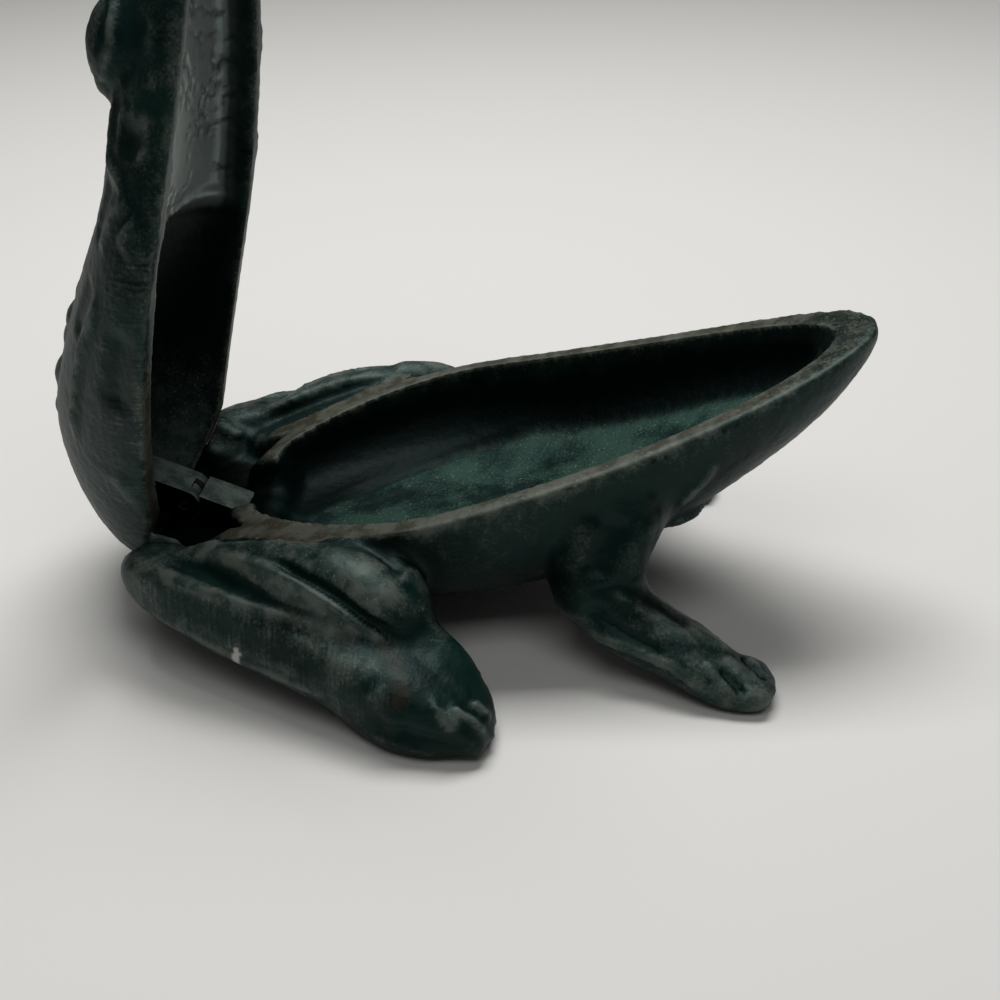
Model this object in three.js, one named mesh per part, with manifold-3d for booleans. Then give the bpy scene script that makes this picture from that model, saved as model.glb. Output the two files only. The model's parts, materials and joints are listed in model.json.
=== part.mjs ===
// A cast-iron frog box: a hollow lower body on four legs, a back that lifts as a lid, and a hinge pin.
// Millimetres, +Z up, +X towards the snout, +Y towards the frog's left.
// It stands on its feet with the lid open.

import * as THREE from 'three';
import { mergeVertices } from 'three/addons/utils/BufferGeometryUtils.js';
import Module from 'manifold-3d';

// Driving dimensions. Distances along X are measured from the hinge axis, heights from the floor.

// The parting plane between body and lid: an egg in plan that climbs towards the snout.
const EGG_REAR = 5.0;
const TRAY_REAR = 6.6;
const WIDEST_AT = 37.0;
const SNOUT_REACH = 92.3;
const RIM_HALF_WIDTH = 25.0;
const RIM_REAR_HEIGHT = 12.3;
const RIM_MIDDLE_HEIGHT = 22.5;
const RIM_SNOUT_HEIGHT = 40.2;
const LID_SEAT_GAP = 0.35;

// The hollow of the body.
const RIM_WALL = 2.8;
const REAR_WALL = 4.8;
const REAR_WALL_SLOPE = 22.0;
const NOTCH_WIDTH = 10.4;
const NOTCH_DEPTH = 2.8;
const SNOUT_WALL = 5.6;
const TRAY_FLOOR_REAR = 7.8;
const TRAY_DEPTH_MIDDLE = 11.6;
const TRAY_DEPTH_FRONT = 6.5;
const BELLY_CLEARANCE = 3.6;

// The lid: hollow under the back, and nearly solid in the head, which has only a shallow recess.
const LID_WALL = 3.0;
const BACK_WALL = 5.0;
const HEAD_STEP_AT = 33.0;
const HEAD_STEP_RUN = 4.0;
const HEAD_RECESS = 6.2;
const RUMP_REACH = 10.4;
const BACK_HEIGHT = 34.3;
const CROWN_HEIGHT = 42.4;
const EYE_AT = 59.5;
const EYE_SPREAD = 9.8;
const EYE_RADIUS = 6.8;
const EYE_HEIGHT = 35.0;

// The hinge: a tongue on the body between two ears of the lid.
const HINGE_HEIGHT = 11.1;
const OPEN_ANGLE = 63.5;
const STRAP_TILT = 21.0;
const STRAP_WIDTH = 6.0;
const STRAP_END = 7.0;
const TONGUE_WIDTH = 2.0;
const KNUCKLE_RADIUS = 2.1;
const TONGUE_RADIUS = 1.4;
const PIN_RADIUS = 0.5;
const CLEARANCE = 0.3;
const STOP_GAP = 0.3;
const HIP_GAP = 0.9;

// The legs.
const STANCE_WIDTH = 86.8;
const THIGH_RADIUS = 6.8;
const THIGH_SPREAD = 27.5;
const THIGH_HEIGHT = 12.6;
const SHIN_RADIUS = 5.4;
const CALF_RADIUS = 3.7;
const HIND_TOE_AT = 47.6;
const HIND_FOOT_WIDTH = 11.6;
const HIND_FOOT_SPREAD = (STANCE_WIDTH - HIND_FOOT_WIDTH) / 2;
const HIND_TOE_LENGTH = 8.0;
const SHOULDER_AT = 61.5;
const SHOULDER_HEIGHT = 26.0;
const ARM_RADIUS = 5.4;
const FRONT_TOE_AT = 81.0;
const FRONT_FOOT_SPREAD = 26.4;
const FRONT_FOOT_WIDTH = 9.6;
const FRONT_TOE_LENGTH = 7.0;
const LEFT_HAND_SETBACK = 6.0;
const TOE_RADIUS = 1.6;
const TOES = 4;
const BOSS_RADIUS = 4.6;

// Fineness of the facets.
const HULL_STEPS = 30;
const HULL_SIDES = 20;
const LIMB_STEPS = 13;
const LIMB_SIDES = 12;
const TOE_SIDES = 8;
const ROUND_SIDES = 24;

const wasm = await Module();
wasm.setup();

const lerp = THREE.MathUtils.lerp;
const radians = THREE.MathUtils.degToRad;
const vec = (x, y, z) => new THREE.Vector3(x, y, z);

// A smooth curve through a few [position, value] keys, flat beyond both ends.
function profile(keys) {
  const slope = keys.map((key, i) => {
    const before = keys[Math.max(i - 1, 0)];
    const after = keys[Math.min(i + 1, keys.length - 1)];
    return (after[1] - before[1]) / (after[0] - before[0]);
  });
  return (at) => {
    if (at <= keys[0][0]) return keys[0][1];
    const i = keys.findIndex((key) => at < key[0]) - 1;
    if (i < 0) return keys[keys.length - 1][1];
    const span = keys[i + 1][0] - keys[i][0];
    const t = (at - keys[i][0]) / span;
    const s = 1 - t;
    return keys[i][1] * s * s * (1 + 2 * t) + slope[i] * span * t * s * s
      + keys[i + 1][1] * t * t * (1 + 2 * s) - slope[i + 1] * span * t * t * s;
  };
}

// A closed skin over a row of rings with equally many points, with its faces pointing out.
function loft(rings) {
  const sides = rings[0].length;
  const middle = (ring) => ring.reduce((sum, p) => sum.add(p), vec(0, 0, 0)).divideScalar(sides);
  const points = [...rings.flat(), middle(rings[0]), middle(rings[rings.length - 1])];
  const firstEnd = rings.length * sides;
  const index = [];
  for (let i = 0; i < sides; i++) {
    const next = (i + 1) % sides;
    for (let r = 0; r + 1 < rings.length; r++) {
      const low = r * sides;
      const high = low + sides;
      index.push(low + i, low + next, high + next, low + i, high + next, high + i);
    }
    index.push(firstEnd, next, i);
    index.push(firstEnd + 1, firstEnd - sides + i, firstEnd - sides + next);
  }
  let volume = 0;
  for (let i = 0; i < index.length; i += 3) {
    const [a, b, c] = [points[index[i]], points[index[i + 1]], points[index[i + 2]]];
    volume += a.dot(b.clone().cross(c));
  }
  if (volume < 0) index.reverse();
  const geometry = new THREE.BufferGeometry().setFromPoints(points);
  geometry.setIndex(index);
  return geometry;
}

// A three.js geometry as a solid for joins and cuts, and back again.
function solid(geometry) {
  const bare = geometry.clone();
  bare.deleteAttribute('normal');
  bare.deleteAttribute('uv');
  const merged = mergeVertices(bare, 1e-4);
  return new wasm.Manifold(new wasm.Mesh({
    numProp: 3,
    vertProperties: Float32Array.from(merged.attributes.position.array),
    triVerts: Uint32Array.from(merged.index.array),
  }));
}

function geometryOf(body) {
  const mesh = body.getMesh();
  const geometry = new THREE.BufferGeometry();
  geometry.setAttribute('position', new THREE.BufferAttribute(Float32Array.from(mesh.vertProperties), 3));
  geometry.setIndex(new THREE.BufferAttribute(Uint32Array.from(mesh.triVerts), 1));
  return geometry;
}

const join = (...bodies) => bodies.reduce((all, body) => all.add(body));

// A limb: superellipse sections along a smooth path, with rounded ends.
// A place is [x, y, z, half width sideways, half height], and ref is the direction that counts as up.
function limb(places, options = {}) {
  const { ref = vec(0, 0, 1), square = 2.2, round = 0.16, steps = LIMB_STEPS, sides = LIMB_SIDES } = options;
  const path = new THREE.CatmullRomCurve3(places.map(([x, y, z]) => vec(x, y, z)), false, 'centripetal');
  const sizes = new THREE.CatmullRomCurve3(places.map(([, , , side, up]) => vec(side, up, 0)));
  const rings = [];
  for (let r = 0; r <= steps; r++) {
    const t = 0.5 - 0.5 * Math.cos(Math.PI * lerp(0.03, 0.97, r / steps));
    const toEnd = Math.min(t, 1 - t);
    const shrink = toEnd < round ? Math.sqrt(1 - (1 - toEnd / round) ** 2) : 1;
    const centre = path.getPoint(t);
    const along = path.getTangent(t);
    const side = along.clone().cross(ref).normalize();
    const up = side.clone().cross(along);
    const size = sizes.getPoint(t).multiplyScalar(shrink);
    const ring = [];
    for (let i = 0; i < sides; i++) {
      const a = 2 * Math.PI * i / sides;
      const c = Math.sign(Math.cos(a)) * Math.abs(Math.cos(a)) ** (2 / square);
      const s = Math.sign(Math.sin(a)) * Math.abs(Math.sin(a)) ** (2 / square);
      ring.push(centre.clone().addScaledVector(side, size.x * c).addScaledVector(up, size.y * s));
    }
    rings.push(ring);
  }
  return solid(loft(rings));
}

// Stations of a limb, given as shares of how far it reaches, spreads and rises, and of its thickness.
function stations(shares, reach, spread, rise, radius) {
  return shares.map(([x, y, z, side, up]) => [x * reach, y * spread, z * rise, side * radius, up * radius]);
}

// The egg outline of the parting plane, drawn in by an inset.
function egg(x, inset = 0) {
  const half = RIM_HALF_WIDTH - inset;
  if (x < WIDEST_AT) {
    const s = Math.min((WIDEST_AT - x) / (WIDEST_AT - EGG_REAR - inset), 1);
    return half * (1 - s ** 1.75) ** (1 / 1.75);
  }
  const front = SNOUT_REACH - inset * SNOUT_WALL / RIM_WALL;
  const t = Math.min((x - WIDEST_AT) / (front - WIDEST_AT), 1);
  return half * Math.sqrt(1 - t ** 1.15);
}

// The height of the parting plane: one sweep from the rear to the snout.
const rimSweep = new THREE.CubicBezierCurve(
  new THREE.Vector2(EGG_REAR, RIM_REAR_HEIGHT),
  new THREE.Vector2(lerp(EGG_REAR, SNOUT_REACH, 0.33), RIM_MIDDLE_HEIGHT),
  new THREE.Vector2(lerp(EGG_REAR, SNOUT_REACH, 0.54), RIM_MIDDLE_HEIGHT),
  new THREE.Vector2(SNOUT_REACH, RIM_SNOUT_HEIGHT),
);
const rimHeight = profile(rimSweep.getPoints(12).map((p) => [p.x, p.y]));

// Stations that crowd together at both ends, where an egg closes quickly.
function crowded(from, to, steps) {
  const places = [];
  for (let i = 0; i <= steps; i++) {
    const t = 0.5 - 0.5 * Math.cos(Math.PI * lerp(0.04, 0.975, i / steps));
    places.push(lerp(from, to, t));
  }
  return places;
}

// A half-round section at x, flat along the parting plane at height base and reaching to height tip.
// A sill carries its two edges straight on, past the parting plane, for a clean cut.
function section(x, half, base, tip, square, sill = 0) {
  const ring = [];
  for (let i = 0; i <= HULL_SIDES; i++) {
    const a = Math.PI * i / HULL_SIDES;
    const c = Math.sign(Math.cos(a)) * Math.abs(Math.cos(a)) ** (2 / square);
    ring.push(vec(x, half * c, base + (tip - base) * Math.sin(a) ** (2 / square)));
  }
  if (sill === 0) return ring;
  return [vec(x, half, base + sill), ...ring, vec(x, -half, base + sill)];
}

// Cutting tools reach this far past what they cut.
const FAR = 200;
const SILL = 25;

// A plain block between two distances along X and two heights, centred across.
function block(x0, x1, width, z0, z1) {
  const box = new THREE.BoxGeometry(x1 - x0, width, z1 - z0);
  box.translate((x0 + x1) / 2, 0, (z0 + z1) / 2);
  return solid(box);
}

// Turns between the closed lid, the open lid and the slope of the hinge strap, all about the hinge axis.
function turn(body, angle) {
  const lowered = body.translate([0, 0, -HINGE_HEIGHT]);
  return lowered.rotate([0, angle, 0]).translate([0, 0, HINGE_HEIGHT]);
}
const atHinge = (body) => turn(body.translate([0, 0, HINGE_HEIGHT]), STRAP_TILT);

// The lower body.

const bodyAt = (share) => lerp(EGG_REAR, SNOUT_REACH, share);
const keel = profile([
  [bodyAt(0), 1.72 * BELLY_CLEARANCE],
  [bodyAt(0.12), 1.08 * BELLY_CLEARANCE],
  [bodyAt(0.45), BELLY_CLEARANCE],
  [bodyAt(0.62), lerp(BELLY_CLEARANCE, RIM_SNOUT_HEIGHT, 0.12)],
  [bodyAt(0.79), lerp(BELLY_CLEARANCE, RIM_SNOUT_HEIGHT, 0.39)],
  [bodyAt(0.92), lerp(BELLY_CLEARANCE, RIM_SNOUT_HEIGHT, 0.655)],
  [bodyAt(1), lerp(BELLY_CLEARANCE, RIM_SNOUT_HEIGHT, 0.905)],
]);
const trayFloor = profile([
  [bodyAt(0), TRAY_FLOOR_REAR],
  [bodyAt(0.16), TRAY_FLOOR_REAR],
  [bodyAt(0.36), rimHeight(bodyAt(0.36)) - TRAY_DEPTH_MIDDLE],
  [bodyAt(0.55), rimHeight(bodyAt(0.55)) - TRAY_DEPTH_MIDDLE],
  [bodyAt(0.95), rimHeight(bodyAt(0.95)) - TRAY_DEPTH_FRONT],
]);

function trayHull() {
  const rings = crowded(TRAY_REAR, SNOUT_REACH, HULL_STEPS)
    .map((x) => section(x, egg(x), rimHeight(x), keel(x), 2.3));
  rings.unshift(section(TRAY_REAR, egg(TRAY_REAR), rimHeight(TRAY_REAR), keel(TRAY_REAR), 2.3));
  return solid(loft(rings));
}

function trayHollow() {
  const rear = TRAY_REAR + REAR_WALL;
  const front = SNOUT_REACH - SNOUT_WALL;
  const rings = crowded(EGG_REAR + RIM_WALL, front, HULL_STEPS - 8)
    .map((x) => section(x, egg(x, RIM_WALL), rimHeight(x), trayFloor(x), 3.2, SILL));
  const rearWall = block(-FAR, 0, FAR, -FAR, FAR).rotate([0, -REAR_WALL_SLOPE, 0]);
  return solid(loft(rings)).subtract(rearWall.translate([rear, 0, rimHeight(rear)]));
}

// Toes side by side at the front edge of a foot.
function toes(side, tip, spread, width, length) {
  const bodies = [];
  for (let i = 0; i < TOES; i++) {
    const across = ((i + 0.5) / TOES - 0.5) * 0.95 * width;
    const bow = 5.6 * TOE_RADIUS * (across / width) ** 2;
    bodies.push(limb([
      [tip - length, side * (spread + 0.7 * across), 1.75 * TOE_RADIUS, TOE_RADIUS, TOE_RADIUS],
      [tip - length / 2, side * (spread + 0.9 * across), 1.56 * TOE_RADIUS, TOE_RADIUS, TOE_RADIUS],
      [tip - bow, side * (spread + across), 0.94 * TOE_RADIUS, TOE_RADIUS, TOE_RADIUS],
    ], { steps: 5, sides: TOE_SIDES, round: 0.22 }));
  }
  return join(...bodies);
}

// One hind leg: the thigh beside the tray, the folded shin outside it, the calf between knee and foot,
// and a broad foot.
function hindLeg(side) {
  const foot = side * HIND_FOOT_SPREAD;
  const thigh = limb(stations([
    [0.095, 0.565, 0.81, 0.59, 0.56],
    [0.25, 0.71, 0.935, 0.94, 0.82],
    [0.44, 0.89, 1.0, 1.06, 1.0],
    [0.63, 1.0, 0.97, 1.03, 1.0],
    [0.8, 1.08, 0.75, 0.82, 0.82],
  ], HIND_TOE_AT, side * THIGH_SPREAD, THIGH_HEIGHT, THIGH_RADIUS));
  const shin = limb([
    ...stations([
      [-0.075, 0.49, 0.905, 0.59, 0.555],
      [0.085, 0.58, 0.825, 0.91, 0.83],
      [0.315, 0.715, 0.715, 1.04, 0.95],
      [0.565, 0.855, 0.585, 1.06, 0.92],
      [0.755, 0.955, 0.44, 1.11, 0.89],
    ], HIND_TOE_AT, foot, THIGH_HEIGHT, SHIN_RADIUS),
    [0.9 * HIND_TOE_AT, 0.99 * foot, 0.27 * THIGH_HEIGHT, 0.5 * HIND_FOOT_WIDTH, 0.63 * SHIN_RADIUS],
    [0.98 * HIND_TOE_AT, foot, 0.16 * THIGH_HEIGHT, 0.45 * HIND_FOOT_WIDTH, 0.37 * SHIN_RADIUS],
  ], { square: 3.2, round: 0.1, steps: LIMB_STEPS + 6 });
  const calf = limb(stations([
    [0.62, 0.71, 0.87, 0.9, 1.0],
    [0.76, 0.8, 0.69, 1.0, 1.0],
    [0.93, 0.92, 0.35, 0.9, 0.85],
  ], HIND_TOE_AT, foot, THIGH_HEIGHT, CALF_RADIUS), { steps: 7 });
  const sole = limb(stations([
    [0.295, 0.65, 0.333, 0.63, 0.78],
    [0.545, 0.78, 0.238, 0.74, 0.667],
    [0.755, 0.985, 0.16, 1.0, 0.52],
    [0.925, 1.005, 0.11, 0.963, 0.41],
  ], HIND_TOE_AT, foot, THIGH_HEIGHT, SHIN_RADIUS));
  const front = toes(side, HIND_TOE_AT, HIND_FOOT_SPREAD, HIND_FOOT_WIDTH, HIND_TOE_LENGTH);
  return join(thigh, shin, calf, sole, front);
}

// The rough boss left on the throat by the casting's gate.
function throatBoss() {
  const at = bodyAt(0.725);
  const reach = 0.74 * BOSS_RADIUS;
  return limb([
    [at - reach, 0, keel(at) - 0.09 * BOSS_RADIUS, BOSS_RADIUS, 0.61 * BOSS_RADIUS],
    [at + reach, 0, keel(at) + 0.57 * BOSS_RADIUS, BOSS_RADIUS, 0.61 * BOSS_RADIUS],
  ], { steps: 6, sides: TOE_SIDES, square: 3.0, round: 0.25 });
}

// One front leg: a broad upper arm down the flank, a forearm near the floor and a paddle hand.
// The left hand is set a little further back than the right one.
function frontLeg(side) {
  const hand = side * FRONT_FOOT_SPREAD;
  const tip = FRONT_TOE_AT - (side > 0 ? LEFT_HAND_SETBACK : 0);
  const wrist = tip - 0.625 * FRONT_FOOT_WIDTH;
  const midway = lerp(SHOULDER_AT, wrist, 0.55);
  const arm = limb(stations([
    [1.0, 0.485, 1.0, 1.0, 1.18],
    [0.97, 0.6, 0.71, 1.0, 1.22],
    [0.935, 0.71, 0.44, 1.0, 1.11],
    [0.965, 0.775, 0.285, 0.815, 0.925],
  ], SHOULDER_AT, hand, SHOULDER_HEIGHT, ARM_RADIUS), { ref: vec(1, 0, 0) });
  const forearm = limb([
    ...stations([
      [0.9, 0.695, 0.423, 0.78, 0.7],
      [1.0, 0.775, 0.285, 1.04, 0.815],
    ], SHOULDER_AT, hand, SHOULDER_HEIGHT, ARM_RADIUS),
    [midway, 0.9 * hand, 0.177 * SHOULDER_HEIGHT, 0.93 * ARM_RADIUS, 0.667 * ARM_RADIUS],
    [wrist, hand, 0.08 * SHOULDER_HEIGHT, 0.5 * FRONT_FOOT_WIDTH, 0.52 * ARM_RADIUS],
    [tip - 0.1 * FRONT_FOOT_WIDTH, hand, 0.05 * SHOULDER_HEIGHT, 0.46 * FRONT_FOOT_WIDTH, 0.37 * ARM_RADIUS],
  ], { round: 0.12 });
  return join(arm, forearm, toes(side, tip, FRONT_FOOT_SPREAD, FRONT_FOOT_WIDTH, FRONT_TOE_LENGTH));
}

// The pelvis: a rounded bridge between the hips, with a sloping rear face that the open lid's rim leans on.
function pelvis() {
  const hip = 0.71 * THIGH_SPREAD;
  const middle = 0.35 * TRAY_REAR;
  const bridge = limb([
    [middle, -hip, 0.65 * THIGH_HEIGHT, 0.735 * THIGH_RADIUS, 0.47 * THIGH_RADIUS],
    [middle, 0, HINGE_HEIGHT - 2.52 * KNUCKLE_RADIUS, 0.94 * THIGH_RADIUS, 0.35 * THIGH_RADIUS],
    [middle, hip, 0.65 * THIGH_HEIGHT, 0.735 * THIGH_RADIUS, 0.47 * THIGH_RADIUS],
  ], { round: 0.04 });
  const lidRim = lidBase(-RUMP_REACH) - STOP_GAP;
  return bridge.subtract(turn(block(-FAR, FAR, FAR, lidRim, FAR), -OPEN_ANGLE));
}

// The lid, modelled closed on the body and then turned open about the hinge axis.

// The lid's outline: the egg in front, and a fuller rump that reaches back over the hips and the hinge.
function lidHalf(x, inset = 0) {
  if (x >= WIDEST_AT) return egg(x, inset);
  const s = Math.min((WIDEST_AT - x) / (WIDEST_AT + RUMP_REACH - inset), 1);
  return (RIM_HALF_WIDTH - inset) * Math.sqrt(1 - s ** 1.7);
}
const lidBase = (x) => rimHeight(x) + LID_SEAT_GAP;
const backTop = profile([
  [-RUMP_REACH, 0.417 * BACK_HEIGHT],
  [-0.865 * RUMP_REACH, 0.504 * BACK_HEIGHT],
  [-0.577 * RUMP_REACH, 0.627 * BACK_HEIGHT],
  [-0.192 * RUMP_REACH, 0.743 * BACK_HEIGHT],
  [0.022 * SNOUT_REACH, 0.837 * BACK_HEIGHT],
  [0.065 * SNOUT_REACH, 0.907 * BACK_HEIGHT],
  [0.119 * SNOUT_REACH, 0.956 * BACK_HEIGHT],
  [0.217 * SNOUT_REACH, 0.983 * BACK_HEIGHT],
  [0.325 * SNOUT_REACH, BACK_HEIGHT],
  [0.433 * SNOUT_REACH, 1.009 * BACK_HEIGHT],
  [0.52 * SNOUT_REACH, 1.064 * BACK_HEIGHT],
  [0.607 * SNOUT_REACH, 0.906 * CROWN_HEIGHT],
  [0.78 * SNOUT_REACH, 0.986 * CROWN_HEIGHT],
  [0.91 * SNOUT_REACH, CROWN_HEIGHT],
  [SNOUT_REACH, 1.035 * RIM_SNOUT_HEIGHT],
]);

function lidDome() {
  const rings = crowded(-RUMP_REACH, SNOUT_REACH, HULL_STEPS)
    .map((x) => section(x, lidHalf(x), lidBase(x), backTop(x), 2.1));
  return solid(loft(rings));
}

// The hollow is deep and round under the back. At a step behind the head it becomes a flat, shallow recess.
function lidHollow() {
  const rings = crowded(-RUMP_REACH + LID_WALL, SNOUT_REACH - SNOUT_WALL, HULL_STEPS).map((x) => {
    const head = THREE.MathUtils.smoothstep(x, HEAD_STEP_AT, HEAD_STEP_AT + HEAD_STEP_RUN);
    const recess = Math.min(HEAD_RECESS, 0.6 * (backTop(x) - lidBase(x)));
    const ceiling = lerp(backTop(x) - BACK_WALL, lidBase(x) + recess, head);
    return section(x, lidHalf(x, LID_WALL), lidBase(x), ceiling, lerp(2.1, 4.5, head), -SILL);
  });
  return solid(loft(rings));
}

function eye(side) {
  const ball = new THREE.SphereGeometry(EYE_RADIUS, 20, 14);
  ball.scale(1.1, 0.9, 1);
  ball.translate(EYE_AT, side * EYE_SPREAD, EYE_HEIGHT);
  return solid(ball);
}

// The hinge. Its pieces are drawn along a level strap about the axis, and then set at the hinge.

const roundBar = (radius, width) => solid(new THREE.CylinderGeometry(radius, radius, width, ROUND_SIDES));
const bore = roundBar(PIN_RADIUS + CLEARANCE, 2 * STRAP_WIDTH);

// The lid's strap: a bar from the back to the axis, with a slot in its end for the tongue.
function lidStrap() {
  const lean = radians(90 - OPEN_ANGLE - STRAP_TILT);
  const reach = (backTop(0) - HINGE_HEIGHT) / Math.cos(lean);
  const bar = block(-reach, 0, STRAP_WIDTH, -KNUCKLE_RADIUS, KNUCKLE_RADIUS);
  const slotWidth = TONGUE_WIDTH + 2 * CLEARANCE;
  const slotEnd = 2 * KNUCKLE_RADIUS;
  const slot = join(
    roundBar(TONGUE_RADIUS + CLEARANCE, slotWidth),
    block(0, slotEnd, slotWidth, -slotEnd, slotEnd),
  );
  return join(bar, roundBar(KNUCKLE_RADIUS, STRAP_WIDTH)).subtract(slot).subtract(bore);
}

// The body's strap: a plate from the tray's rear wall, level with the lid's strap, and the tongue under it.
// The plate stops short of the axis by as much as the lid's strap needs to stand up in front of it.
function bodyStrap() {
  const front = TRAY_REAR + REAR_WALL / 2;
  const open = radians(OPEN_ANGLE);
  const seam = (KNUCKLE_RADIUS * (1 - Math.cos(open)) + CLEARANCE) / Math.sin(open);
  const plate = block(seam, front, STRAP_WIDTH, -KNUCKLE_RADIUS - 1, KNUCKLE_RADIUS);
  const room = KNUCKLE_RADIUS + CLEARANCE;
  const closedStrap = block(-4 * room, 0, 2 * STRAP_WIDTH, -room, room).rotate([0, OPEN_ANGLE, 0]);
  const knuckleRoom = join(roundBar(room, 2 * STRAP_WIDTH), closedStrap);
  const neck = block(0, front, TONGUE_WIDTH, -TONGUE_RADIUS, 0.2);
  return join(plate.subtract(knuckleRoom), neck, roundBar(TONGUE_RADIUS, TONGUE_WIDTH)).subtract(bore);
}

// Put together.

// Room on the body for the lid, so that the rim and the hips stop short of it, closed and open.
function lidRoom() {
  const rings = crowded(-RUMP_REACH - 1, SNOUT_REACH + 1, HULL_STEPS + 8).map((x) => {
    const half = lidHalf(x, -HIP_GAP);
    const low = lidBase(x) - LID_SEAT_GAP;
    return [vec(x, half, low), vec(x, half, low + SILL), vec(x, -half, low + SILL), vec(x, -half, low)];
  });
  return solid(loft(rings));
}

// The notch in the tray's rear rim that the strap lies in, from a distance along X to the hollow.
function rearNotch(from) {
  const front = TRAY_REAR + 2 * REAR_WALL;
  return block(from, front, NOTCH_WIDTH, rimHeight(TRAY_REAR) - NOTCH_DEPTH, FAR);
}

function trayBody() {
  const legs = [-1, 1].flatMap((side) => [hindLeg(side), frontLeg(side)]);
  const room = lidRoom();
  const casting = join(trayHull(), pelvis(), throatBoss(), ...legs);
  const cleared = casting.subtract(room).subtract(turn(room, -OPEN_ANGLE)).subtract(rearNotch(-FAR));
  const strapped = join(cleared, atHinge(bodyStrap())).subtract(rearNotch(STRAP_END));
  const floor = block(-FAR, FAR, FAR, -FAR, 0);
  return strapped.subtract(trayHollow()).subtract(floor);
}

function backLid() {
  const dome = lidDome();
  const shell = join(dome, eye(-1), eye(1)).subtract(lidHollow());
  const strap = turn(atHinge(lidStrap()), OPEN_ANGLE);
  const belowRim = block(-FAR, FAR, FAR, -FAR, lidBase(0) + 1);
  const trimmed = join(strap.intersect(dome), strap.intersect(belowRim));
  return turn(join(shell, trimmed), -OPEN_ANGLE);
}

const paint = new THREE.MeshStandardMaterial({ color: 0x12302b, roughness: 0.45, metalness: 0.2 });
const steel = new THREE.MeshStandardMaterial({ color: 0x6f6a62, roughness: 0.5, metalness: 0.9 });

function piece(name, body, material) {
  const mesh = new THREE.Mesh(geometryOf(body), material);
  mesh.name = name;
  return mesh;
}

const frog = new THREE.Group();
frog.name = 'frog_box';
frog.add(
  piece('tray_body', trayBody(), paint),
  piece('back_lid', backLid(), paint),
  piece('hinge_pin', atHinge(roundBar(PIN_RADIUS, STRAP_WIDTH)), steel),
);

// The origin is the middle of the object's box, on the floor.
const bounds = new THREE.Box3().setFromObject(frog, true);
const middle = bounds.getCenter(vec(0, 0, 0));
frog.position.set(-middle.x, -middle.y, -bounds.min.z);

export default frog;
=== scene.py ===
import json
import math

import bmesh
import bpy
import numpy as np
from mathutils import Matrix, Vector, noise
from mathutils.bvhtree import BVHTree
from mathutils.kdtree import KDTree


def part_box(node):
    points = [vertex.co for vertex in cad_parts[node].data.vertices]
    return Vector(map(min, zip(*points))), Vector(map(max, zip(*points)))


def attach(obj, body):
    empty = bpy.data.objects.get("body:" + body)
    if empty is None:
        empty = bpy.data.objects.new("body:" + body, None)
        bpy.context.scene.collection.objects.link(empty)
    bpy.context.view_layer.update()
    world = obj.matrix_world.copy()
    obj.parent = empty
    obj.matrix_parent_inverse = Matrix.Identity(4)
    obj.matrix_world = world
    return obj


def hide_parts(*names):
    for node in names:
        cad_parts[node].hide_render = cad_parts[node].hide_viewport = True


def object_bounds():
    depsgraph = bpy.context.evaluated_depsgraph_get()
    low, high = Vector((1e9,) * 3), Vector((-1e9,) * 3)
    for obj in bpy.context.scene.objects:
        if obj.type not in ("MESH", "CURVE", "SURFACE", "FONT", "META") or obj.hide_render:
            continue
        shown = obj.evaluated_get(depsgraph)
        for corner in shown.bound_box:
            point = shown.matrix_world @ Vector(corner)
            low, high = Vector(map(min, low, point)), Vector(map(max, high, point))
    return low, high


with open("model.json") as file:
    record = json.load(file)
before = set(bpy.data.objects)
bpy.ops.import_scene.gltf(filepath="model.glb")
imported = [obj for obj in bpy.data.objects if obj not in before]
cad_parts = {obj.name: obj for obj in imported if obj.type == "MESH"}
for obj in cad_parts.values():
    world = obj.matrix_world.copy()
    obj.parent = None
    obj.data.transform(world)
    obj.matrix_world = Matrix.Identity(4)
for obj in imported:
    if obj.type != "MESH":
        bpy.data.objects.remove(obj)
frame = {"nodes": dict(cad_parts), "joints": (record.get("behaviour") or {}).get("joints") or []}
cad_box = [list(corner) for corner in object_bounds()]

# The lower casting: tray, chin, belly and four legs in one pour of grey iron.
# It was cast in sand, filed along the rim, painted dark green, and rubbed bare on its ridges since.
# Its places are in millimetres forward of the hinge axis, to the frog's left, and above the floor.
MM = 0.001
MERGE = 1e-7
TRAY_GRAIN = 0.49 * MM
hinge = frame["joints"][0]
hinge_x, hinge_z = hinge["pos_m"][0], hinge["pos_m"][2]
lid_swing = math.radians(hinge["range_deg"][1])
STRAP_TILT = math.radians(21)
STRAP_FRAME = Matrix.Translation((hinge_x, 0, hinge_z)) @ Matrix.Rotation(STRAP_TILT, 4, "Y")
SLOT_HALF = 3.4
TRAY_SLOT, TRAY_SLOT_HEIGHTS = (-3.0, 6.6), (-2.4, 2.6)


def merged(node):
    """The shape of a solid, with its loose triangles merged into one skin."""
    shape = bmesh.new()
    shape.from_mesh(frame["nodes"][node].data)
    bmesh.ops.remove_doubles(shape, verts=shape.verts, dist=MERGE)
    shape.normal_update()
    return shape


def piece_of(shape, name):
    """Puts a shape into the scene as a piece of its own."""
    mesh = bpy.data.meshes.new(name)
    shape.to_mesh(mesh)
    shape.free()
    piece = bpy.data.objects.new(name, mesh)
    bpy.context.scene.collection.objects.link(piece)
    return piece


def settle(piece):
    """Makes what the modifiers of a piece do a part of its mesh."""
    evaluated = piece.evaluated_get(bpy.context.evaluated_depsgraph_get())
    mesh = bpy.data.meshes.new_from_object(evaluated)
    mesh.name = piece.name
    piece.modifiers.clear()
    piece.data = mesh


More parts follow.
